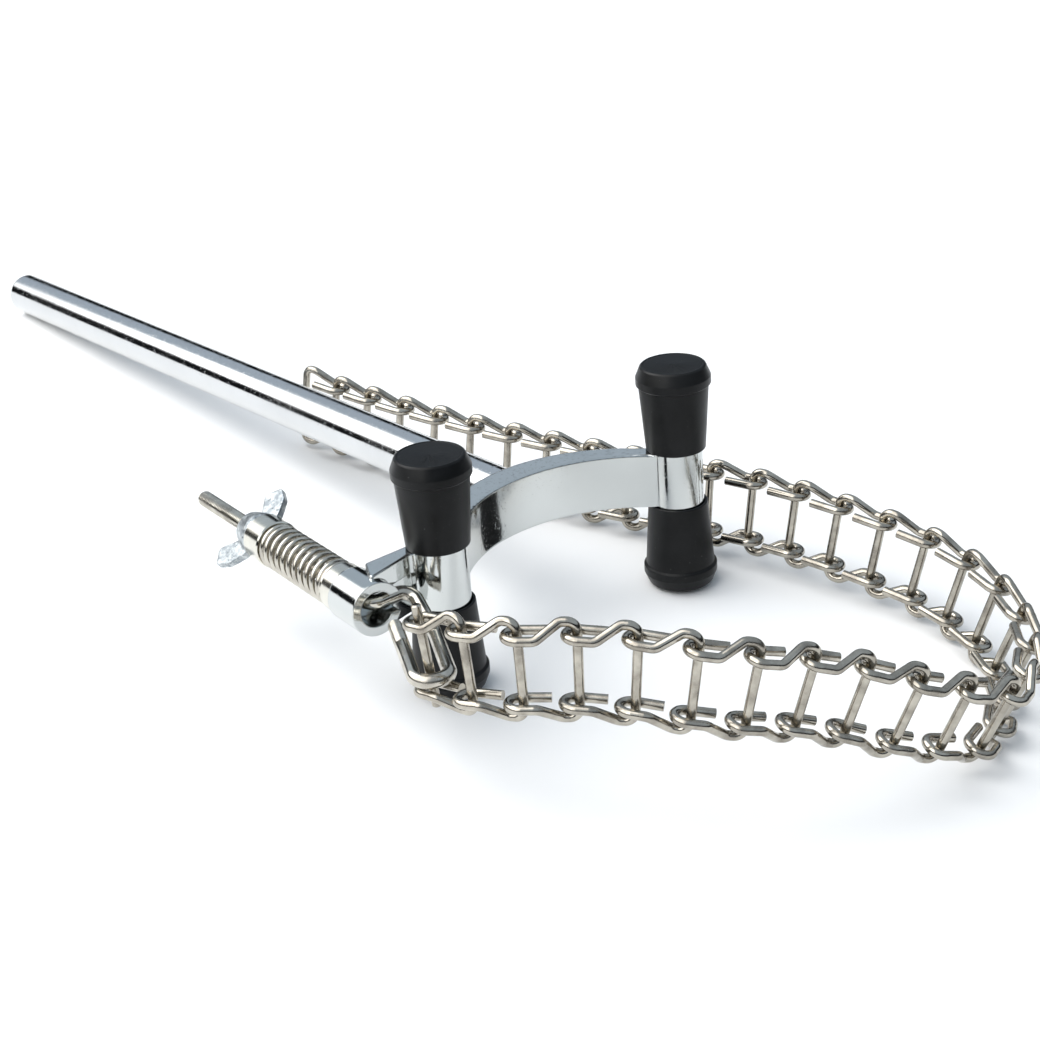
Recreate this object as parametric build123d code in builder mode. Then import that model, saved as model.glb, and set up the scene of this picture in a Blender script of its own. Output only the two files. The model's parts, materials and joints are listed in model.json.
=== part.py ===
from build123d import *
import os
from math import atan2, cos, radians, sin, tan

# Laboratory chain clamp. Millimetres, +Z up.
# The origin is on the axis of the support rod, where the rod leaves the back of the yoke.
# The rod runs along -Y, the two posts stand along Z, and the arm with the tension unit is on +X.
# The clamp lies on a table on its two lower caps and on the free end of its rod.

# ---- support rod ----
ROD_D = 12.7
ROD_REACH = 254.0
ROD_END_ROUND = 1.6
ROD_SPIGOT_D = 8.0
ROD_SPIGOT_DEPTH = 5.6

# ---- yoke, one die casting ----
POST_LINE_Y = 22.0
POST_SPACING = 73.0
YOKE_HEIGHT = 14.0
INNER_ARC_R = 38.0
INNER_ARC_Y = 45.6
BACK_ARC_R = 37.6
BACK_ARC_Y = 37.8
STRAP_FRONT_Y = 27.5
ROD_PAD_D = 13.3
ROD_PAD_DEPTH = 3.0
BOSS_D = 12.9
BOSS_HALF_HEIGHT = 10.4
POST_D = 10.0
POST_HALF_HEIGHT = 25.6
YOKE_CORNER_ROUND = 1.5
YOKE_EDGE_ROUND = 0.5
ARM_ROOT_BACK = (39.0, 17.5)
ARM_END_BACK = (53.6, 17.9)
ARM_END_FRONT = (57.3, 24.9)
ARM_ROOT_FRONT = (42.0, 21.0)
ARM_ROOT_INNER = (39.0, 21.0)
ARM_CORNER_ROUND = 0.6

# ---- rubber caps on the ends of the posts, heights from the middle plane ----
CAP_MOUTH_Z = 7.05
CAP_MOUTH_R = 7.3
CAP_LIP_R = 6.6
CAP_LIP_DEPTH = 3.5
CAP_NECK_Z = 22.6
CAP_NECK_R = 8.55
CAP_FLANGE_Z = 23.6
CAP_FLANGE_R = 9.07
CAP_FLANGE_TOP_Z = 25.6
CAP_REACH = 28.46
CAP_FACE_R = 7.79
CAP_BORE_DEPTH_Z = 25.8
CAP_EDGE_ROUND = 0.5

# ---- tension unit: everything on the hook bolt, stations measured back from the arm's boss ----
BOLT_YAW = 4.5
BOSS_SEAT = (56.5, 16.0, 0.0)
ARM_BOSS_D = 12.4
ARM_BOSS_LENGTH = 10.6
BOSS_BORE_D = 3.5
BOSS_MOUTH_D = 8.2
BOSS_MOUTH_DEPTH = 6.4
HOOK_SLOT_HEIGHT = 4.6
HOOK_SLOT_X = (43.4, 58.0)
WIRE_D = 3.3
THREAD_D = 3.9
THREAD_START = 30.0
THREAD_END = 72.7
COLLAR_D = 11.5
COLLAR_BORE_D = 4.3
SPIGOT_D = 7.6
SPIGOT_LENGTH = 3.6
FERRULE_CHAMFER = 0.3
INNER_COLLAR_LENGTH = 4.6
SPRING_START = 4.65
SPRING_END = 33.95
SPRING_D = 11.0
SPRING_WIRE_D = 1.3
SPRING_PITCH = 3.0
OUTER_COLLAR_START = 34.0
OUTER_COLLAR_LENGTH = 6.5
NUT_START = 40.55
NUT_LENGTH = 6.4
NUT_D = 10.8
NUT_BORE_D = 4.1
WING_ANGLE = 145.0
WING_THICKNESS = 1.9
WING_OUTLINE = [(3.0, 40.9), (6.2, 40.9), (10.4, 43.6), (12.2, 47.2), (8.2, 51.0), (3.0, 46.3)]

# ---- hook: the bolt's wire bent into a long closed eye, corner points in the clamp's frame ----
EYE_SIDE_CORNER = (46.2, 23.6, 0.0)
EYE_DROP_CORNER = (49.0, 35.5, -6.0)
EYE_TAIL_END = (55.0, 29.2, -3.9)
EYE_HALF_WIDTH = 3.7
EYE_LEVEL = -5.6
EYE_HEADING = (0.42, 0.9075)
EYE_SHANK_BEND_R = 2.6
EYE_SIDE_BEND_R = 3.0
EYE_DROP_BEND_R = 6.0
EYE_FRONT_BEND_R = 3.5

# ---- ladder chain: one straight pin, then identical links of one bent wire each ----
LINK_COUNT = 33
LINK_PITCH = 11.7
LINK_WIRE_D = 2.1
RUNG_HALF_HEIGHT = 10.6
RAIL_HALF_HEIGHT = 7.55
RAIL_OFFSET = 2.85
RUNG_BEND_R = 2.2
STEP_BEND_R = 2.0
LOOP_BEND_R = 2.75
STEP_START = 3.5
STEP_END = 8.4
RETURN_LENGTH = 5.9
PIN_END_CHAMFER = 0.3

# ---- how the chain lies: the first pin, then the heading and the lean of each rung ----
# link, heading from +X towards +Y, lean of the rung towards +X, lean towards +Y, in degrees on the table
PIN_CENTRE = (60.9, 48.6, -1.7)
CHAIN_LAY = [
    (0, 74, 2, -12),
    (1, 99, 0, -11),
    (3, 136, -3, -6),
    (5, 128, -8, -1),
    (7, 156, -13, 5),
    (9, 148, -18, 10),
    (11, 163, -15, 15),
    (12, 197, -12, 17),
    (14, 229, -12, 12),
    (16, 256, -13, 6),
    (18, 281, -10, 2),
    (20, 283, -8, -1),
    (23, 291, -6, -6),
    (27, 292, -7, -3),
    (33, 281, -8, -1),
]

ROD_R = ROD_D / 2
TABLE_TILT = atan2(CAP_REACH - ROD_R, ROD_REACH + POST_LINE_Y - CAP_FACE_R)
TABLE_ALONG = Vector(0, cos(TABLE_TILT), -sin(TABLE_TILT))
TABLE_UP = Vector(0, sin(TABLE_TILT), cos(TABLE_TILT))
POSTS_X = {"left": POST_SPACING / 2, "right": -POST_SPACING / 2}

YAW = radians(BOLT_YAW)
BOLT_FORWARD = Vector(sin(YAW), cos(YAW), 0)
bolt_plane = Plane(origin=BOSS_SEAT, x_dir=(cos(YAW), -sin(YAW), 0), z_dir=-BOLT_FORWARD)

pieces = {}


def keep(name, piece):
    """Labels a finished piece and keeps it for export."""
    piece.label = name
    pieces[name] = piece


# ---------------------------------------------------------------- support rod
with BuildPart() as support_rod:
    with BuildSketch(Plane.XZ):
        Circle(ROD_R)
    extrude(amount=ROD_REACH)
    fillet(support_rod.edges().sort_by(Axis.Y)[0], ROD_END_ROUND)
    with BuildSketch(Plane.XZ):
        Circle(ROD_SPIGOT_D / 2)
    extrude(amount=-ROD_SPIGOT_DEPTH)
keep("support_rod", support_rod.part)


# ---------------------------------------------------------------- yoke
with BuildPart() as yoke:
    with BuildSketch(Plane.XY.offset(-YOKE_HEIGHT / 2)) as yoke_outline:
        with Locations((0, BACK_ARC_Y)):
            Circle(BACK_ARC_R)
        with Locations((0, INNER_ARC_Y)):
            Circle(INNER_ARC_R, mode=Mode.SUBTRACT)
        with Locations((0, STRAP_FRONT_Y)):
            Rectangle(3 * BACK_ARC_R, 3 * BACK_ARC_R, align=(Align.CENTER, Align.MIN), mode=Mode.SUBTRACT)
        with Locations((POSTS_X["left"], POST_LINE_Y), (POSTS_X["right"], POST_LINE_Y)):
            Circle(BOSS_D / 2)
        with BuildLine():
            Polyline(ARM_ROOT_BACK, ARM_END_BACK, ARM_END_FRONT, ARM_ROOT_FRONT, ARM_ROOT_INNER, close=True)
        make_face()
        arm_end = yoke_outline.vertices().filter_by(lambda corner: corner.X > POST_SPACING / 2 + BOSS_D)
        fillet(yoke_outline.vertices() - arm_end, YOKE_CORNER_ROUND)
        fillet(yoke_outline.vertices().sort_by(Axis.X)[-len(arm_end):], ARM_CORNER_ROUND)
    extrude(amount=YOKE_HEIGHT)
    fillet(yoke.edges().group_by(Axis.Z)[-1] + yoke.edges().group_by(Axis.Z)[0], YOKE_EDGE_ROUND)
    with BuildSketch(bolt_plane):
        Circle(ARM_BOSS_D / 2)
    extrude(amount=-ARM_BOSS_LENGTH)
    with BuildSketch(Plane.XY.offset(-BOSS_HALF_HEIGHT)):
        with Locations((POSTS_X["left"], POST_LINE_Y), (POSTS_X["right"], POST_LINE_Y)):
            Circle(BOSS_D / 2)
    extrude(amount=2 * BOSS_HALF_HEIGHT)
    with BuildSketch(Plane.XY.offset(-POST_HALF_HEIGHT)):
        with Locations((POSTS_X["left"], POST_LINE_Y), (POSTS_X["right"], POST_LINE_Y)):
            Circle(POST_D / 2)
    extrude(amount=2 * POST_HALF_HEIGHT)
    with BuildSketch(Plane.XZ.offset(-ROD_PAD_DEPTH)):
        Circle(ROD_PAD_D / 2)
    extrude(amount=ROD_PAD_DEPTH)
    with BuildSketch(Plane.XZ):
        Circle(ROD_SPIGOT_D / 2)
    extrude(amount=-ROD_SPIGOT_DEPTH, mode=Mode.SUBTRACT)
    with BuildSketch(bolt_plane.offset(ARM_BOSS_LENGTH)):
        Circle(BOSS_BORE_D / 2)
    extrude(amount=-2 * ARM_BOSS_LENGTH, mode=Mode.SUBTRACT)
    with BuildSketch(bolt_plane.offset(-ARM_BOSS_LENGTH)):
        Circle(BOSS_MOUTH_D / 2)
    extrude(amount=BOSS_MOUTH_DEPTH, mode=Mode.SUBTRACT)
    with BuildSketch(Plane.XY.offset(-HOOK_SLOT_HEIGHT / 2)):
        with BuildLine():
            Polyline(
                (HOOK_SLOT_X[0], ARM_END_FRONT[1] + ARM_BOSS_D),
                (HOOK_SLOT_X[0], BOSS_SEAT[1] + ARM_BOSS_LENGTH - BOSS_MOUTH_DEPTH),
                (HOOK_SLOT_X[1], BOSS_SEAT[1] + ARM_BOSS_LENGTH - BOSS_MOUTH_DEPTH),
                (HOOK_SLOT_X[1], ARM_END_FRONT[1] + ARM_BOSS_D),
                close=True,
            )
        make_face()
    extrude(amount=HOOK_SLOT_HEIGHT, mode=Mode.SUBTRACT)
keep("yoke", yoke.part)


# ---------------------------------------------------------------- rubber caps
def rubber_cap(post_x, up):
    """A tapered cap with a bevelled flange, open at the yoke and pushed on the post; up is 1 or -1."""
    section = Plane(origin=(post_x, POST_LINE_Y, 0), x_dir=(1, 0, 0), z_dir=(0, -up, 0))
    with BuildPart() as cap:
        with BuildSketch(section):
            with BuildLine():
                Polyline(
                    (POST_D / 2, CAP_MOUTH_Z + CAP_LIP_DEPTH),
                    (CAP_LIP_R, CAP_MOUTH_Z + CAP_LIP_DEPTH),
                    (CAP_LIP_R, CAP_MOUTH_Z),
                    (CAP_MOUTH_R, CAP_MOUTH_Z),
                    (CAP_NECK_R, CAP_NECK_Z),
                    (CAP_NECK_R, CAP_FLANGE_Z),
                    (CAP_FLANGE_R, CAP_FLANGE_Z),
                    (CAP_FLANGE_R, CAP_FLANGE_TOP_Z),
                    (CAP_FACE_R, CAP_REACH),
                    (0, CAP_REACH),
                    (0, CAP_BORE_DEPTH_Z),
                    (POST_D / 2, CAP_BORE_DEPTH_Z),
                    close=True,
                )
            make_face()
        revolve(axis=Axis((post_x, POST_LINE_Y, 0), (0, 0, 1)))
        face_edge = cap.edges().filter_by(GeomType.CIRCLE).sort_by(Axis.Z)
        fillet(face_edge[-1] if up > 0 else face_edge[0], CAP_EDGE_ROUND)
    return cap.part


for side, post_x in POSTS_X.items():
    keep(f"cap_{side}_upper", rubber_cap(post_x, 1))
    keep(f"cap_{side}_lower", rubber_cap(post_x, -1))


# ---------------------------------------------------------------- tension unit
def ferrule(collar_start, collar_length, spigot_start):
    """A turned collar with a spigot that centres the end of the spring, bored for the bolt."""
    with BuildPart() as turned:
        with BuildSketch(bolt_plane.offset(collar_start)):
            Circle(COLLAR_D / 2)
        extrude(amount=collar_length)
        chamfer(turned.edges().filter_by(GeomType.CIRCLE), FERRULE_CHAMFER)
        with BuildSketch(bolt_plane.offset(spigot_start)):
            Circle(SPIGOT_D / 2)
        extrude(amount=SPIGOT_LENGTH)
        with BuildSketch(bolt_plane):
            Circle(COLLAR_BORE_D / 2)
        extrude(amount=THREAD_END, mode=Mode.SUBTRACT)
    return turned.part


keep("inner_ferrule", ferrule(0, INNER_COLLAR_LENGTH, INNER_COLLAR_LENGTH))
keep("outer_ferrule", ferrule(OUTER_COLLAR_START, OUTER_COLLAR_LENGTH, OUTER_COLLAR_START - SPIGOT_LENGTH))

with BuildPart() as tension_spring:
    first_turn = bolt_plane.offset(SPRING_START + SPRING_WIRE_D / 2)
    with BuildLine():
        coil = Helix(
            SPRING_PITCH,
            SPRING_END - SPRING_START - SPRING_WIRE_D,
            (SPRING_D - SPRING_WIRE_D) / 2,
            center=first_turn.origin,
            direction=first_turn.z_dir,
        )
    with BuildSketch(Plane(origin=coil @ 0, z_dir=coil % 0)):
        Circle(SPRING_WIRE_D / 2)
    sweep(path=coil, is_frenet=True)
keep("tension_spring", tension_spring.part)


def wing_plane(angle):
    """The middle plane of one wing: X outwards from the bolt's axis, Y back along the bolt."""
    out = bolt_plane.x_dir * cos(radians(angle)) + bolt_plane.y_dir * sin(radians(angle))
    return Plane(origin=BOSS_SEAT, x_dir=out, z_dir=out.cross(-BOLT_FORWARD))


with BuildPart() as wing_nut:
    with BuildSketch(bolt_plane.offset(NUT_START)):
        Circle(NUT_D / 2)
    extrude(amount=NUT_LENGTH)
    chamfer(wing_nut.edges().filter_by(GeomType.CIRCLE), PIN_END_CHAMFER)
    for wing_angle in (WING_ANGLE, WING_ANGLE + 180):
        with BuildSketch(wing_plane(wing_angle)):
            with BuildLine():
                Polyline(*WING_OUTLINE, close=True)
            make_face()
        extrude(amount=WING_THICKNESS / 2, both=True)
    with BuildSketch(bolt_plane.offset(NUT_START)):
        Circle(NUT_BORE_D / 2)
    extrude(amount=2 * NUT_LENGTH, mode=Mode.SUBTRACT)
keep("wing_nut", wing_nut.part)


# ---------------------------------------------------------------- chain frames
def lay_value(link, column):
    """One column of the lay table at a link, straight between the rows."""
    before = [row for row in CHAIN_LAY if row[0] <= link][-1]
    after = [row for row in CHAIN_LAY if row[0] >= link][0]
    if after[0] == before[0]:
        return before[column]
    share = (link - before[0]) / (after[0] - before[0])
    return before[column] + share * (after[column] - before[column])


def on_table(x, along, up):
    """A direction given in the table's axes."""
    return Vector(x, 0, 0) + TABLE_ALONG * along + TABLE_UP * up


def rung_planes():
    """The frame of the pin and of each link's rung: X the way the chain runs, Z along the rung."""
    planes = []
    centre = Vector(*PIN_CENTRE)
    for link in range(LINK_COUNT + 1):
        turn = radians(lay_value(link, 1))
        rung = on_table(tan(radians(lay_value(link, 2))), tan(radians(lay_value(link, 3))), 1).normalized()
        left = rung.cross(on_table(cos(turn), sin(turn), 0)).normalized()
        ahead = left.cross(rung)
        if link > 0:
            centre = centre + ahead * LINK_PITCH
        planes.append(Plane(origin=centre, x_dir=ahead, z_dir=rung))
    return planes


chain = rung_planes()


# ---------------------------------------------------------------- hook bolt
def eye_corner(ahead, left):
    """A corner of the eye's front, measured from the chain pin along and across the eye."""
    rise = (EYE_LEVEL - chain[0].origin.Z) / chain[0].z_dir.Z
    pin = chain[0].origin + chain[0].z_dir * rise
    x = pin.X + ahead * EYE_HEADING[0] - left * EYE_HEADING[1]
    y = pin.Y + ahead * EYE_HEADING[1] + left * EYE_HEADING[0]
    return (x, y, EYE_LEVEL)


with BuildPart() as hook_bolt:
    shank_start = bolt_plane.offset(THREAD_START).origin
    shank_corner = Vector(*BOSS_SEAT) + BOLT_FORWARD * (EYE_SIDE_CORNER[1] - BOSS_SEAT[1])
    with BuildLine() as hook_path:
        FilletPolyline(
            shank_start,
            shank_corner,
            EYE_SIDE_CORNER,
            EYE_DROP_CORNER,
            eye_corner(EYE_HALF_WIDTH, EYE_HALF_WIDTH),
            eye_corner(EYE_HALF_WIDTH, -EYE_HALF_WIDTH),
            EYE_TAIL_END,
            radius=[EYE_SHANK_BEND_R, EYE_SIDE_BEND_R, EYE_DROP_BEND_R, EYE_FRONT_BEND_R, EYE_FRONT_BEND_R],
        )
    with BuildSketch(Plane(origin=shank_start, z_dir=BOLT_FORWARD)):
        Circle(WIRE_D / 2)
    sweep(path=hook_path.wires()[0])
    with BuildSketch(bolt_plane.offset(THREAD_START)):
        Circle(THREAD_D / 2)
    extrude(amount=THREAD_END - THREAD_START)
    chamfer(hook_bolt.edges().filter_by(GeomType.CIRCLE).sort_by(Axis.Y)[0], PIN_END_CHAMFER)
keep("hook_bolt", hook_bolt.part)


# ---------------------------------------------------------------- chain
with BuildPart() as chain_pin:
    with BuildSketch(chain[0].offset(-RUNG_HALF_HEIGHT - LINK_WIRE_D / 2)):
        Circle(LINK_WIRE_D / 2)
    extrude(amount=2 * RUNG_HALF_HEIGHT + LINK_WIRE_D)
    chamfer(chain_pin.edges().filter_by(GeomType.CIRCLE), PIN_END_CHAMFER)
keep("chain_pin", chain_pin.part)


def side_route(level):
    """Corners of one side of a link, from its rung round the rung before and back; level is 1 or -1."""
    return [
        (0, 0, level * RUNG_HALF_HEIGHT),
        (-STEP_START, 0, level * RUNG_HALF_HEIGHT),
        (-STEP_END, -RAIL_OFFSET, level * RAIL_HALF_HEIGHT),
        (-LINK_PITCH - RAIL_OFFSET, -RAIL_OFFSET, level * RAIL_HALF_HEIGHT),
        (-LINK_PITCH - RAIL_OFFSET, RAIL_OFFSET, level * RAIL_HALF_HEIGHT),
        (-LINK_PITCH + RETURN_LENGTH, RAIL_OFFSET, level * RAIL_HALF_HEIGHT),
    ]


SIDE_BENDS = [RUNG_BEND_R, STEP_BEND_R, STEP_BEND_R, LOOP_BEND_R, LOOP_BEND_R]

with BuildPart() as link_blank:
    with BuildLine() as link_path:
        FilletPolyline(*side_route(-1)[::-1], *side_route(1), radius=SIDE_BENDS[::-1] + SIDE_BENDS)
    with BuildSketch(Plane(origin=side_route(-1)[-1], z_dir=(-1, 0, 0))):
        Circle(LINK_WIRE_D / 2)
    sweep(path=link_path.wires()[0])

for link in range(1, LINK_COUNT + 1):
    with BuildPart() as chain_link:
        with Locations(chain[link].location):
            add(link_blank.part)
    keep(f"chain_link_{link:02d}", chain_link.part)


# ---------------------------------------------------------------- export
os.makedirs("parts", exist_ok=True)
for name, piece in pieces.items():
    export_step(piece, f"parts/{name}.step")
    print(name, round(piece.volume, 1))
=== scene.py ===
import json
from math import atan2, ceil, cos, pi, radians, sin, tan

import bmesh
import bpy
from mathutils import Matrix, Vector


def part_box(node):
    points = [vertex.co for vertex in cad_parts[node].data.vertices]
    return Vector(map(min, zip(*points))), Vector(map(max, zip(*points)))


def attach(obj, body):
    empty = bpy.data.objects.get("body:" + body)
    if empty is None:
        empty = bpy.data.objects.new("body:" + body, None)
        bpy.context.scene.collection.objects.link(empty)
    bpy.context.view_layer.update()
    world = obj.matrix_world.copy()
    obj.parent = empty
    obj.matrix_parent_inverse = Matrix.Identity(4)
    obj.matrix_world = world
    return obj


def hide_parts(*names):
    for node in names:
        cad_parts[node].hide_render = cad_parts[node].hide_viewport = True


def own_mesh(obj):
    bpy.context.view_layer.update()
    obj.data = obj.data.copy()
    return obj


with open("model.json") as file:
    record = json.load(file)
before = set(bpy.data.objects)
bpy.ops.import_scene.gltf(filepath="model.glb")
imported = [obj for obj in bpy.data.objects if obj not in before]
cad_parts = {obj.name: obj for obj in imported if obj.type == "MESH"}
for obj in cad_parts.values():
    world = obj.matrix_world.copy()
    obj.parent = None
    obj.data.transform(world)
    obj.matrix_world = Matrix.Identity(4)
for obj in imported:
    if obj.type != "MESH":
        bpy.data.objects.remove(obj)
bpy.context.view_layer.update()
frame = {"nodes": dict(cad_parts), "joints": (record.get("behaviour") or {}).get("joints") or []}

# The clamp's frame in metres: the rod runs along -Y, the posts stand along Z, the tension unit is on +X.
MM = 0.001
nodes = frame["nodes"]
joints = {joint["name"]: joint for joint in frame["joints"]}

# The tension unit's own axes: stations run back from the arm's boss, angles turn about the bolt.
SEAT = Vector(joints["spring_travel"]["pos_m"])
AHEAD = Vector(joints["spring_travel"]["axis"]).normalized()
UP = Vector((0, 0, 1))
SIDE = AHEAD.cross(UP).normalized()

# The table: the clamp lies on its lower caps and on the free end of its rod.
ROD_LOW, ROD_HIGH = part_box("support_rod")
CAP_LOW, CAP_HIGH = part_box("cap_left_lower")
ROD_RADIUS = (ROD_HIGH.x - ROD_LOW.x) / 2
CAP_FACE_RADIUS = 7.79 * MM
CAP_FACE_Y = (CAP_LOW.y + CAP_HIGH.y) / 2 - CAP_FACE_RADIUS
TABLE_TILT = atan2(-CAP_LOW.z - ROD_RADIUS, CAP_FACE_Y - ROD_LOW.y)
FLOOR_GAP = 0.05 * MM


# ---------------------------------------------------------------- camera, floor and light
CAMERA_AT = Vector((0.2629, 0.3433, 0.1885))
CAMERA_AZIMUTH = 142.13
CAMERA_ELEVATION = 24.32
CAMERA_ROLL = -4.47
CAMERA_LENS = 67.5
CAMERA_SENSOR = 36.0


def add_camera():
    """The photograph's view: azimuth 0 looks along +Y, and the roll turns the picture about its middle."""
    data = bpy.data.cameras.new("camera")
    data.lens = CAMERA_LENS
    data.sensor_width = CAMERA_SENSOR
    data.clip_start = 0.01
    camera = bpy.data.objects.new("camera", data)
    bpy.context.scene.collection.objects.link(camera)
    turn = Matrix.Rotation(radians(CAMERA_AZIMUTH), 4, "Z")
    nod = Matrix.Rotation(radians(90 - CAMERA_ELEVATION), 4, "X")
    roll = Matrix.Rotation(radians(CAMERA_ROLL), 4, "Z")
    camera.matrix_world = Matrix.Translation(CAMERA_AT) @ turn @ nod @ roll
    bpy.context.scene.camera = camera


TABLE_HALF = 6.0
TABLE_COLOUR = (0.93, 0.93, 0.925)


def add_floor():
    """A pale table top under the caps and the rod's end."""
    mesh = bpy.data.meshes.new("table_top")
    corners = [(x * TABLE_HALF, y * TABLE_HALF, 0) for x, y in ((-1, -1), (1, -1), (1, 1), (-1, 1))]
    mesh.from_pydata(corners, [], [(0, 1, 2, 3)])
    floor = bpy.data.objects.new("table_top", mesh)
    bpy.context.scene.collection.objects.link(floor)
    floor.rotation_euler = (-TABLE_TILT, 0, 0)
    floor.location = (0, CAP_FACE_Y, CAP_LOW.z - FLOOR_GAP)
    shader = Shader("pale_table", TABLE_COLOUR, metallic=0.0)
    shader.vary("Roughness", shader.noise(scale=60, detail=4), low=0.55, high=0.7)
    shader.bump(shader.noise(scale=900, detail=3), strength=0.05, distance=0.05 * MM)
    mesh.materials.append(shader.material)


LIGHTS = {
    # name: place, size, power, colour
    "key": ((0.35, -0.45, 0.75), (0.5, 0.5), 2.5, (1.0, 1.0, 1.0)),
    "fill": ((0.75, 0.35, 0.5), (0.35, 0.6), 1.2, (1.0, 0.99, 0.97)),
}
LIGHTS_LOOK_AT = Vector((0, 0, 0))


def add_light(name, at, size, power, colour):
    """A soft area light that looks at the yoke."""
    data = bpy.data.lights.new(name, "AREA")
    data.shape = "RECTANGLE"
    data.size, data.size_y = size
    data.energy = power
    data.color = colour
    light = bpy.data.objects.new(name, data)
    bpy.context.scene.collection.objects.link(light)
    light.location = at
    light.rotation_euler = (LIGHTS_LOOK_AT - Vector(at)).to_track_quat("-Z", "Y").to_euler()


MIX_SHARE = 0
MIX_FIRST = 6
MIX_SECOND = 7
MIX_RESULT = 2


def colour_mix(tree, share, first, second):
    """Mixes two colours, each given as numbers or as another node's output."""
    mix = tree.nodes.new("ShaderNodeMix")
    mix.data_type = "RGBA"
    tree.links.new(share, mix.inputs[MIX_SHARE])
    for place, value in ((MIX_FIRST, first), (MIX_SECOND, second)):
        if isinstance(value, bpy.types.NodeSocket):
            tree.links.new(value, mix.inputs[place])
        else:
            mix.inputs[place].default_value = (*value, 1)
    return mix.outputs[MIX_RESULT]


def smooth_step(tree, value, edge):
    """Rises from 0 to 1 while value passes from one edge to the other."""
    step = tree.nodes.new("ShaderNodeMapRange")
    step.interpolation_type = "SMOOTHSTEP"
    step.inputs["From Min"].default_value, step.inputs["From Max"].default_value = edge
    tree.links.new(value, step.inputs["Value"])
    return step.outputs[0]


SOFTBOX_TOWARDS = Vector((0.55, -0.35, 0.75)).normalized()
SOFTBOX_EDGE = (0.70, 0.78)
SOFTBOX_WHITE = (2.6, 2.6, 2.6)
ROOM_BLUE = (0.50, 0.58, 0.67)
ROOM_DARK = (0.008, 0.009, 0.010)
DARK_BAND_TOP = (0.30, 0.37)


def add_world():
    """A studio: a dark band at the horizon, blue-grey walls above it and a big white soft box overhead."""
    world = bpy.data.worlds.new("studio")
    bpy.context.scene.world = world
    world.use_nodes = True
    tree = world.node_tree
    tree.nodes.clear()
    coords = tree.nodes.new("ShaderNodeTexCoord")
    split = tree.nodes.new("ShaderNodeSeparateXYZ")
    tree.links.new(coords.outputs["Generated"], split.inputs[0])
    wall = smooth_step(tree, split.outputs["Z"], DARK_BAND_TOP)
    facing = tree.nodes.new("ShaderNodeVectorMath")
    facing.operation = "DOT_PRODUCT"
    facing.inputs[1].default_value = SOFTBOX_TOWARDS
    tree.links.new(coords.outputs["Generated"], facing.inputs[0])
    box = smooth_step(tree, facing.outputs["Value"], SOFTBOX_EDGE)
    above = colour_mix(tree, box, ROOM_BLUE, SOFTBOX_WHITE)
    room = colour_mix(tree, wall, ROOM_DARK, above)
    lit = tree.nodes.new("ShaderNodeBackground")
    tree.links.new(room, lit.inputs["Color"])
    out = tree.nodes.new("ShaderNodeOutputWorld")
    tree.links.new(lit.outputs[0], out.inputs[0])


# ---------------------------------------------------------------- materials
BEVEL_SAMPLES = 6


class Shader:
    """One procedural material: a Principled shader and the few textures that vary it."""

    def __init__(self, name, colour, metallic, roughness=0.5):
        self.material = bpy.data.materials.new(name)
        self.material.use_nodes = True
        self.tree = self.material.node_tree
        self.bsdf = self.tree.nodes["Principled BSDF"]
        self.bsdf.inputs["Base Color"].default_value = (*colour, 1)
        self.bsdf.inputs["Metallic"].default_value = metallic
        self.bsdf.inputs["Roughness"].default_value = roughness
        self.coords = self.tree.nodes.new("ShaderNodeTexCoord").outputs["Object"]
        self.last_bump = None

    def node(self, kind, **inputs):
        made = self.tree.nodes.new(kind)
        for name, value in inputs.items():
            made.inputs[name.replace("_", " ")].default_value = value
        return made

    def stretched(self, stretch, turn=(0, 0, 0)):
        """The object's coordinates, turned and squeezed so that a texture runs out along one axis."""
        mapping = self.node("ShaderNodeMapping", Rotation=turn, Scale=stretch)
        self.tree.links.new(self.coords, mapping.inputs["Vector"])
        return mapping.outputs[0]

    def noise(self, scale, detail, coords=None, rough=0.55):
        made = self.node("ShaderNodeTexNoise", Scale=scale, Detail=detail, Roughness=rough)
        self.tree.links.new(coords or self.coords, made.inputs["Vector"])
        return made.outputs["Fac"]

    def remap(self, value, low, high, from_low=0.3, from_high=0.7):
        ends = {"From_Min": from_low, "From_Max": from_high, "To_Min": low, "To_Max": high}
        made = self.node("ShaderNodeMapRange", **ends)
        self.tree.links.new(value, made.inputs["Value"])
        return made.outputs[0]

    def vary(self, socket, value, low, high, from_low=0.3, from_high=0.7):
        self.tree.links.new(self.remap(value, low, high, from_low, from_high), self.bsdf.inputs[socket])

    def colours(self, value, first, second, from_low=0.35, from_high=0.65):
        """Mixes two colours over the surface; returns the result for another layer."""
        share = self.remap(value, 0, 1, from_low, from_high)
        result = colour_mix(self.tree, share, first, second)
        self.tree.links.new(result, self.bsdf.inputs["Base Color"])
        return result

    def specks(self, under, value, colour, from_low, from_high):
        """Adds a third colour where value is high."""
        self.colours(value, under, colour, from_low, from_high)

    def soften_edges(self, radius):
        """Rounds what the light sees at an edge, as plate does."""
        self.last_bump = self.node("ShaderNodeBevel", Radius=radius)
        self.last_bump.samples = BEVEL_SAMPLES

    def bump(self, height, strength, distance):
        made = self.node("ShaderNodeBump", Strength=strength, Distance=distance)
        self.tree.links.new(height, made.inputs["Height"])
        if self.last_bump:
            self.tree.links.new(self.last_bump.outputs[0], made.inputs["Normal"])
        self.tree.links.new(made.outputs[0], self.bsdf.inputs["Normal"])
        self.last_bump = made


def darker(colour, by):
    return [by * channel for channel in colour]


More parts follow.
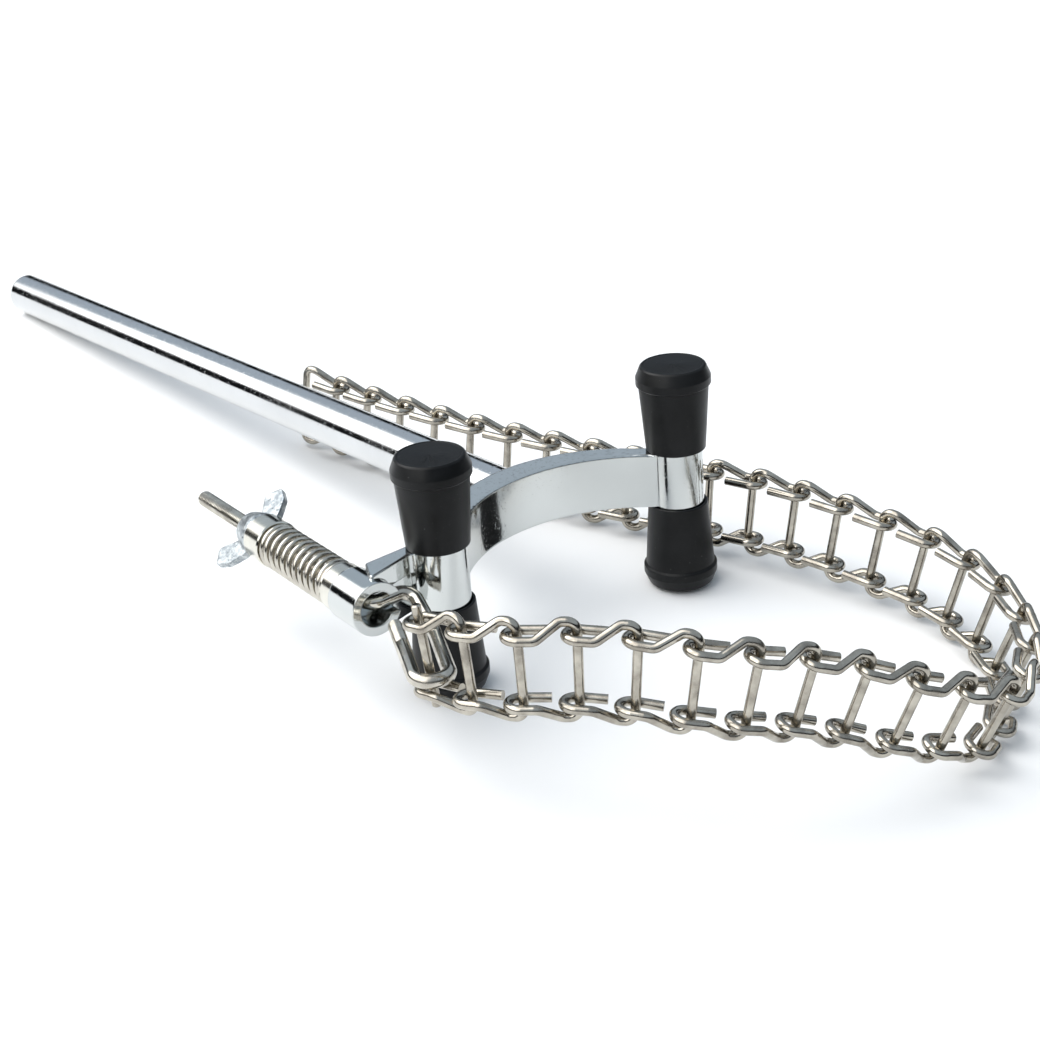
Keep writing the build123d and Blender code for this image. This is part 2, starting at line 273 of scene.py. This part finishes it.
def chrome(name, colour, dull, pit_depth, edge):
    """Bright plate with a faint haze, hairline scratches and pits."""
    shader = Shader(name, colour, metallic=1.0)
    shader.soften_edges(edge)
    haze = shader.noise(scale=45, detail=5)
    shader.colours(haze, colour, darker(colour, by=0.93))
    shader.vary("Roughness", haze, low=0.04, high=dull, from_low=0.35, from_high=0.68)
    shader.bump(shader.noise(scale=140, detail=2), strength=0.12, distance=0.12 * MM)
    scratched = shader.stretched((2600, 90, 2600), turn=(0.25, 0.1, 0.4))
    shader.bump(shader.noise(scale=1, detail=3, coords=scratched), strength=0.08, distance=0.02 * MM)
    pits = shader.remap(shader.noise(scale=1500, detail=2), 0, 1, from_low=0.60, from_high=0.78)
    shader.bump(pits, strength=0.25, distance=pit_depth)
    return shader.material


def wire(name, colour, shade, streak):
    """Nickel-plated drawn wire: warm grey, streaked, with darker patches in the plate."""
    shader = Shader(name, colour, metallic=1.0)
    patches = shader.noise(scale=260, detail=4)
    shader.colours(patches, colour, shade)
    shader.vary("Roughness", patches, low=0.13, high=0.30, from_low=0.32, from_high=0.7)
    streaks = shader.noise(scale=1, detail=2, coords=shader.stretched(streak))
    shader.bump(streaks, strength=0.15, distance=0.03 * MM)
    shader.bump(shader.noise(scale=2400, detail=2), strength=0.10, distance=0.01 * MM)
    return shader.material


def turned(name, colour):
    """Turned and plated brass collars: fine rings about the bolt."""
    shader = Shader(name, colour, metallic=1.0)
    haze = shader.noise(scale=180, detail=4)
    shader.colours(haze, colour, darker(colour, by=0.88))
    shader.vary("Roughness", haze, low=0.10, high=0.22)
    along_bolt = shader.stretched((80, 4200, 80), turn=(0, 0, radians(4.5)))
    shader.bump(shader.noise(scale=1, detail=2, coords=along_bolt), strength=0.18, distance=0.015 * MM)
    return shader.material


RUBBER_BLACK = (0.003, 0.0033, 0.0035)
RUBBER_PALER = (0.008, 0.0085, 0.009)
RUBBER_DUST = (0.10, 0.105, 0.10)


def rubber(name, gloss):
    """Black moulded rubber: satin, with flow marks, fine grain and a little pale dust."""
    shader = Shader(name, RUBBER_BLACK, metallic=0.0)
    shader.bsdf.inputs["Specular IOR Level"].default_value = 0.2 + 0.35 * gloss
    cloud = shader.noise(scale=110, detail=4)
    layers = shader.colours(cloud, RUBBER_BLACK, RUBBER_PALER)
    shader.specks(layers, shader.noise(scale=2100, detail=2), RUBBER_DUST, from_low=0.73, from_high=0.80)
    shader.vary("Roughness", cloud, low=0.30 - 0.18 * gloss, high=0.44 - 0.20 * gloss)
    flow = shader.noise(scale=1, detail=3, coords=shader.stretched((260, 260, 60)))
    shader.bump(flow, strength=0.14, distance=0.08 * MM)
    shader.bump(shader.noise(scale=1900, detail=3), strength=0.16, distance=0.025 * MM)
    return shader.material


ZINC_BLUE = (0.27, 0.30, 0.32)
ZINC_PALE = (0.60, 0.63, 0.64)
ZINC_SPOT = (0.10, 0.11, 0.12)


def zinc(name):
    """Zinc-plated casting: mottled blue-grey and pale patches, dull."""
    shader = Shader(name, ZINC_BLUE, metallic=1.0)
    mottle = shader.noise(scale=620, detail=5, rough=0.7)
    layers = shader.colours(mottle, ZINC_BLUE, ZINC_PALE, from_low=0.42, from_high=0.60)
    shader.specks(layers, shader.noise(scale=1300, detail=3), ZINC_SPOT, from_low=0.60, from_high=0.70)
    shader.vary("Roughness", mottle, low=0.28, high=0.50)
    shader.bump(mottle, strength=0.35, distance=0.10 * MM)
    shader.bump(shader.noise(scale=2600, detail=3), strength=0.25, distance=0.03 * MM)
    return shader.material


# ---------------------------------------------------------------- shapes
SHARP_ANGLE = 35
ARC_STEP = radians(9)
WELD_DISTANCE = 0.002 * MM


def finished(name, bm, materials, body, replaced, sharp=SHARP_ANGLE):
    """Turns a bmesh into a smooth piece with its materials and body, and hides the CAD node it stands for.
    """
    mesh = bpy.data.meshes.new(name)
    bm.to_mesh(mesh)
    bm.free()
    return placed(name, mesh, materials, body, replaced, sharp)


def placed(name, mesh, materials, body, replaced, sharp=SHARP_ANGLE):
    """Shades a mesh and hangs it on its body."""
    mesh.shade_smooth()
    mesh.set_sharp_from_angle(angle=radians(sharp))
    mesh.materials.clear()
    for finish in materials:
        mesh.materials.append(finish)
    piece = bpy.data.objects.new(name, mesh)
    bpy.context.scene.collection.objects.link(piece)
    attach(piece, body)
    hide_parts(replaced)
    return piece


def bolt_point(station, radius=0.0, angle=0.0):
    """A point of the tension unit, from its station and its place about the bolt, in millimetres."""
    out = SIDE * cos(angle) + UP * sin(angle)
    return SEAT - AHEAD * (station * MM) + out * (radius * MM)


def rounded(corners, radii, closed=False):
    """A path with an arc at each corner, in short steps."""
    last = len(corners) - 1
    path = []
    for place, corner in enumerate(corners):
        if not closed and place in (0, last):
            path.append(corner.copy())
            continue
        before = (corners[place - 1] - corner).normalized()
        after = (corners[(place + 1) % len(corners)] - corner).normalized()
        half = before.angle(after) / 2
        radius = radii[place] if closed else radii[place - 1]
        middle = corner + (before + after).normalized() * (radius / sin(half))
        start = corner + before * (radius / tan(half)) - middle
        end = corner + after * (radius / tan(half)) - middle
        steps = max(2, ceil((pi - 2 * half) / ARC_STEP))
        for step in range(steps + 1):
            path.append(middle + start.normalized().slerp(end.normalized(), step / steps) * start.length)
    return path


def even(points, step):
    """The same path in even steps."""
    lengths = [0.0]
    for first, second in zip(points, points[1:]):
        lengths.append(lengths[-1] + (second - first).length)
    count = max(2, ceil(lengths[-1] / step))
    path = []
    place = 0
    for number in range(count + 1):
        target = lengths[-1] * number / count
        while place < len(points) - 2 and lengths[place + 1] < target:
            place += 1
        span = lengths[place + 1] - lengths[place]
        share = (target - lengths[place]) / span if span > 0 else 0.0
        path.append(points[place].lerp(points[place + 1], share))
    return path


def tube(bm, points, radius, sides, chamfer=0.0):
    """A closed tube along points; radius(distance, angle) is in metres."""
    first = (points[1] - points[0]).normalized()
    side = first.orthogonal().normalized()
    rings = []
    distance = 0.0
    for place, point in enumerate(points):
        before = points[max(place - 1, 0)]
        after = points[min(place + 1, len(points) - 1)]
        distance += (point - before).length
        ahead = (after - before).normalized()
        side = (side - ahead * side.dot(ahead)).normalized()
        up = ahead.cross(side)
        cut = chamfer if place in (0, len(points) - 1) else 0.0
        ring = []
        for number in range(sides):
            angle = 2 * pi * number / sides
            reach = radius(distance, angle) - cut
            ring.append(bm.verts.new(point + (side * cos(angle) + up * sin(angle)) * reach))
        rings.append(ring)
    for near, far in zip(rings, rings[1:]):
        for number in range(sides):
            after = (number + 1) % sides
            bm.faces.new((near[number], near[after], far[after], far[number]))
    bm.faces.new(rings[0][::-1])
    bm.faces.new(rings[-1])


def lathe(bm, profile, place, sides):
    """Turns a closed profile of (radius, height) pairs; place(radius, height, angle) gives each point."""
    rings = []
    for number in range(sides):
        angle = 2 * pi * number / sides
        rings.append([bm.verts.new(place(radius, height, angle)) for radius, height in profile])
    count = len(profile)
    for number, ring in enumerate(rings):
        other = rings[(number + 1) % sides]
        for row in range(count):
            after = (row + 1) % count
            bm.faces.new((ring[row], other[row], other[after], ring[after]))
    bmesh.ops.remove_doubles(bm, verts=bm.verts, dist=WELD_DISTANCE)
    bmesh.ops.recalc_face_normals(bm, faces=bm.faces)


def outline(rows):
    """A closed outline from rows of radius, height and rounding; its points hold the radius in x."""
    corners = [Vector((radius, 0, height)) for radius, height, _ in rows]
    return rounded(corners, [rounding for _, _, rounding in rows], closed=True)


def turned_profile(rows):
    """The same outline as (radius, height) pairs for the lathe."""
    return [(max(point.x, 0.0), point.z) for point in outline(rows)]


# ---------------------------------------------------------------- rubber caps
CAP_CORNERS = [
    # radius, height above the middle plane, rounding
    (5.0, 10.55, 0.05), (6.6, 10.55, 0.05), (6.6, 7.05, 0.2), (7.28, 7.05, 0.25),
    (8.42, 22.5, 0.4), (8.42, 23.3, 0.25), (9.07, 23.7, 0.3), (9.07, 25.55, 0.35),
    (8.0, 28.1, 0.5), (7.62, 28.46, 0.3), (7.25, 28.46, 0.12),
    (7.1, 28.34, 0.12), (0.0, 28.34, 0.01), (0.0, 25.8, 0.01), (5.0, 25.8, 0.1),
]
CAP_BEVEL = (25.7, 28.2)
CAP_FACE_NORMAL = 0.9
CAP_SIDES = 112


def add_caps(material, bevel_material):
    """The four tapered caps, each with a waisted neck, a flange, a hollow bevel and a sunk face."""
    profile = turned_profile(CAP_CORNERS)
    for node in ("cap_left_upper", "cap_left_lower", "cap_right_upper", "cap_right_lower"):
        low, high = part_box(node)
        middle = (low + high) / 2
        up = 1 if middle.z > 0 else -1

        def place(radius, height, angle):
            out = Vector((cos(angle), sin(angle), 0)) * (radius * MM)
            return Vector((middle.x, middle.y, up * height * MM)) + out

        bm = bmesh.new()
        lathe(bm, profile, place, CAP_SIDES)
        for face in bm.faces:
            height = abs(face.calc_center_median().z) / MM
            in_bevel = CAP_BEVEL[0] < height < CAP_BEVEL[1]
            face.material_index = int(in_bevel and abs(face.normal.z) < CAP_FACE_NORMAL)
        finished(f"{node}_rubber", bm, [material, bevel_material], "frame", node)


# ---------------------------------------------------------------- tension spring
SPRING_FROM = 4.65
SPRING_TO = 33.95
SPRING_WIRE = 1.3
SPRING_RADIUS = 4.85
OPEN_TURNS = 9.5
CLOSED_TURNS = 1.0
OPENING_TURNS = 0.5
CLOSED_GAP = 0.03
SPRING_STEPS = 44
SPRING_SIDES = 18
SPRING_CHAMFER = 0.1
SPRING_SHARP_ANGLE = 60


def add_spring(material):
    """A compression spring with a closed coil at each end."""
    turns = OPEN_TURNS + 2 * CLOSED_TURNS
    count = int(turns * SPRING_STEPS)
    closed_pitch = SPRING_WIRE + CLOSED_GAP
    room = SPRING_TO - SPRING_FROM - SPRING_WIRE
    shares = []
    for step in range(count):
        turn = (step + 0.5) / SPRING_STEPS
        past_closed = min(turn, turns - turn) - CLOSED_TURNS + OPENING_TURNS / 2
        opened = min(1.0, max(0.0, past_closed / OPENING_TURNS))
        shares.append(opened * opened * (3 - 2 * opened))
    closed_travel = closed_pitch * count / SPRING_STEPS
    gain = (room - closed_travel) * SPRING_STEPS / sum(shares)
    station = SPRING_FROM + SPRING_WIRE / 2
    path = [bolt_point(station, SPRING_RADIUS, 0.0)]
    for step, share in enumerate(shares):
        station += (closed_pitch + gain * share) / SPRING_STEPS
        path.append(bolt_point(station, SPRING_RADIUS, 2 * pi * (step + 1) / SPRING_STEPS))
    bm = bmesh.new()
    tube(bm, path, lambda distance, angle: SPRING_WIRE / 2 * MM, SPRING_SIDES, SPRING_CHAMFER * MM)
    spring = finished(
        "tension_spring_coil", bm, [material], "frame", "tension_spring", SPRING_SHARP_ANGLE
    )
    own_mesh(spring)


# ---------------------------------------------------------------- hook bolt
HOOK_WIRE = 3.3
THREAD_OUTER = 1.93
THREAD_ROOT = 1.45
# Thread faces below this radius get a near-black finish: painted shade in the thread roots.
THREAD_PAINTED_SHADE_RADIUS = 1.64
THREAD_PITCH = 0.7
THREAD_ROOT_FLAT = 0.2
THREAD_FLANK = 0.7
THREAD_FROM = 30.0
THREAD_TO = 72.7
THREAD_END_CUT = 0.25
THREAD_END_SLOPE = 0.6
THREAD_STEPS = 8
THREAD_SIDES = 36
SHANK_CORNER_Y = 23.6
EYE_SIDE = (46.2, 23.6, 0.0)
EYE_DROP = (49.0, 35.5, -6.0)
EYE_TAIL = (55.0, 29.2, -3.9)
EYE_HALF = 3.7
EYE_LEVEL = -5.6
EYE_HEADING = (0.42, 0.9075)
EYE_BENDS = (2.6, 3.0, 6.0, 3.5, 3.5)
TAIL_MARKS = 9.0
TAIL_MARK_DEPTH = 0.22
TAIL_RUN_IN = 1.5
HOOK_OVERLAP = 0.5
HOOK_STEP = 0.11
HOOK_SIDES = 24
HOOK_CHAMFER = 0.12
HOOK_SHARP_ANGLE = 50


def eye_corner(ahead, left):
    """A front corner of the eye, which goes round the chain's first pin."""
    pin = Vector(joints["pin_spin"]["pos_m"]) / MM
    rung = Vector(joints["pin_spin"]["axis"])
    pin = pin + rung * ((EYE_LEVEL - pin.z) / rung.z)
    x = pin.x + ahead * EYE_HEADING[0] - left * EYE_HEADING[1]
    y = pin.y + ahead * EYE_HEADING[1] + left * EYE_HEADING[0]
    return Vector((x, y, EYE_LEVEL)) * MM


def ridge(distance, angle, pitch):
    """The height of a screw thread's flank, from 0 in its root to 1 on its crest."""
    turn = (distance / pitch - angle / (2 * pi)) % 1.0
    flank = 1 - abs(2 * turn - 1)
    return min(1.0, max(0.0, (flank - THREAD_ROOT_FLAT) / THREAD_FLANK))


def add_hook_bolt(material, thread_material, root_painted_shade):
    """The bolt: a threaded rod whose front end is bent sideways, down and round into a long eye."""
    shank_corner = SEAT + AHEAD * ((SHANK_CORNER_Y * MM - SEAT.y) / AHEAD.y)
    corners = [
        bolt_point(THREAD_FROM + HOOK_OVERLAP), shank_corner, Vector(EYE_SIDE) * MM, Vector(EYE_DROP) * MM,
        eye_corner(EYE_HALF, EYE_HALF), eye_corner(EYE_HALF, -EYE_HALF), Vector(EYE_TAIL) * MM,
    ]
    path = even(rounded(corners, [bend * MM for bend in EYE_BENDS]), HOOK_STEP * MM)
    length = sum((second - first).length for first, second in zip(path, path[1:]))

    def hook_radius(distance, angle):
        into_tail = distance - (length - TAIL_MARKS * MM)
        marks = min(1.0, max(0.0, into_tail / (TAIL_RUN_IN * MM)))
        groove = TAIL_MARK_DEPTH * marks * (1 - ridge(distance / MM, angle, THREAD_PITCH))
        return (HOOK_WIRE / 2 - groove) * MM

    bm = bmesh.new()
    tube(bm, path, hook_radius, HOOK_SIDES, HOOK_CHAMFER * MM)

    def thread_radius(distance, angle):
        crest = THREAD_ROOT + (THREAD_OUTER - THREAD_ROOT) * ridge(distance / MM, angle, THREAD_PITCH)
        to_end = THREAD_TO - THREAD_FROM - distance / MM
        return min(crest, THREAD_ROOT - THREAD_END_CUT + THREAD_END_SLOPE * max(0.0, to_end)) * MM

    thread = even([bolt_point(THREAD_FROM), bolt_point(THREAD_TO)], THREAD_PITCH / THREAD_STEPS * MM)
    wire_faces = len(bm.faces)
    tube(bm, thread, thread_radius, THREAD_SIDES)
    bm.faces.ensure_lookup_table()
    for number, face in enumerate(bm.faces):
        middle = face.calc_center_median() - SEAT
        station = -middle.dot(AHEAD)
        radius = (middle + AHEAD * station).length
        if number >= wire_faces:
            # Faces in the thread roots take the near-black painted shade; the rest of the thread takes the
            # thread finish.
            face.material_index = 2 if radius < THREAD_PAINTED_SHADE_RADIUS * MM else 1
        elif station > 0:
            face.material_index = 1
    finishes = [material, thread_material, root_painted_shade]
    finished("hook_bolt_wire", bm, finishes, "hook_bolt", "hook_bolt", HOOK_SHARP_ANGLE)


# ---------------------------------------------------------------- wing nut
NUT_CORNERS = [
    # radius, station, rounding
    (2.05, 40.57, 0.1), (5.3, 40.57, 0.3), (5.35, 42.2, 0.8), (4.3, 46.9, 0.7), (2.05, 46.9, 0.2),
]
WING_CORNERS = [
    # radius, station, rounding
    (2.6, 41.1, 0.3), (6.2, 41.1, 1.6), (10.3, 43.8, 2.2),
    (12.0, 47.4, 0.9), (8.4, 50.75, 1.2), (4.0, 46.4, 0.6),
]
WING_ANGLE = 145.0
WING_ROOT_HALF = 1.0
WING_ROOT_AT = 5.0
WING_TIP_HALF = 0.78
WING_TIP_AT = 12.0
NUT_SIDES = 72
NUT_SHARP_ANGLE = 80
CASTING_VOXEL = 0.2
CASTING_RELAX = 0.5
CASTING_ROUNDS = 4


def add_wing_nut(material):
    """A cast wing nut: hub and ears joined in one skin, rounded as a die casting is."""
    bm = bmesh.new()
    hub = turned_profile(NUT_CORNERS)
    lathe(bm, hub, lambda radius, station, angle: bolt_point(station, radius, angle), NUT_SIDES)
    ear = outline(WING_CORNERS)
    for turn in (radians(WING_ANGLE), radians(WING_ANGLE + 180)):
        across = (SIDE * cos(turn) + UP * sin(turn)).cross(AHEAD)
        faces = []
        for side in (1, -1):
            ring = []
            for point in ear:
                share = min(1.0, max(0.0, (point.x - WING_ROOT_AT) / (WING_TIP_AT - WING_ROOT_AT)))
                half = WING_ROOT_HALF + (WING_TIP_HALF - WING_ROOT_HALF) * share
                ring.append(bm.verts.new(bolt_point(point.z, point.x, turn) + across * (side * half * MM)))
            faces.append(ring)
            bm.faces.new(ring if side > 0 else ring[::-1])
        for number in range(len(ear)):
            after = (number + 1) % len(ear)
            bm.faces.new((faces[0][number], faces[1][number], faces[1][after], faces[0][after]))
    bmesh.ops.recalc_face_normals(bm, faces=bm.faces)
    rough = bpy.data.meshes.new("wing_nut_rough")
    bm.to_mesh(rough)
    bm.free()
    block = bpy.data.objects.new("wing_nut_rough", rough)
    bpy.context.scene.collection.objects.link(block)
    skin = block.modifiers.new("skin", "REMESH")
    skin.mode = "VOXEL"
    skin.voxel_size = CASTING_VOXEL * MM
    relax = block.modifiers.new("relax", "SMOOTH")
    relax.factor = CASTING_RELAX
    relax.iterations = CASTING_ROUNDS
    bpy.context.view_layer.update()
    smooth_block = block.evaluated_get(bpy.context.evaluated_depsgraph_get())
    mesh = bpy.data.meshes.new_from_object(smooth_block)
    bpy.data.objects.remove(block)
    placed("wing_nut_casting", mesh, [material], "wing_nut", "wing_nut", NUT_SHARP_ANGLE)


# ---------------------------------------------------------------- the clamp
def dress(node, material):
    """Gives a CAD node its finish."""
    nodes[node].material_slots[0].material = material


BRIGHT_NICKEL = (0.62, 0.59, 0.52)

bpy.context.scene.view_settings.view_transform = "Standard"
add_camera()
add_world()
add_floor()
for name, (at, size, power, colour) in LIGHTS.items():
    add_light(name, at, size, power, colour)

rod_chrome = chrome("rod_chrome", (0.63, 0.64, 0.645), dull=0.17, pit_depth=0.09 * MM, edge=0.2 * MM)
cast_chrome = chrome("cast_chrome", (0.60, 0.62, 0.61), dull=0.13, pit_depth=0.04 * MM, edge=0.45 * MM)
nickel = turned("turned_nickel", (0.70, 0.68, 0.61))
chain_nickel = wire("chain_nickel", (0.50, 0.465, 0.40), (0.30, 0.275, 0.235), (700, 700, 700))
hook_nickel = wire("hook_nickel", BRIGHT_NICKEL, (0.42, 0.39, 0.34), (900, 300, 900))
spring_nickel = wire("spring_nickel", BRIGHT_NICKEL, (0.46, 0.43, 0.38), (600, 600, 600))
thread_nickel = wire("thread_nickel", (0.46, 0.43, 0.38), (0.32, 0.30, 0.26), (900, 900, 900))
# Near-black finish for the thread roots: painted shade.
thread_root_painted_shade = wire("thread_root_painted_shade", (0.06, 0.055, 0.05), (0.03, 0.028, 0.025), (900, 900, 900))

dress("support_rod", rod_chrome)
dress("yoke", cast_chrome)
dress("inner_ferrule", nickel)
dress("outer_ferrule", nickel)
for node in nodes:
    if node.startswith("chain_"):
        dress(node, chain_nickel)

add_caps(rubber("cap_rubber", gloss=0.0), rubber("cap_rubber_bevel", gloss=1.0))
add_spring(spring_nickel)
add_hook_bolt(hook_nickel, thread_nickel, thread_root_painted_shade)
add_wing_nut(zinc("wing_zinc"))
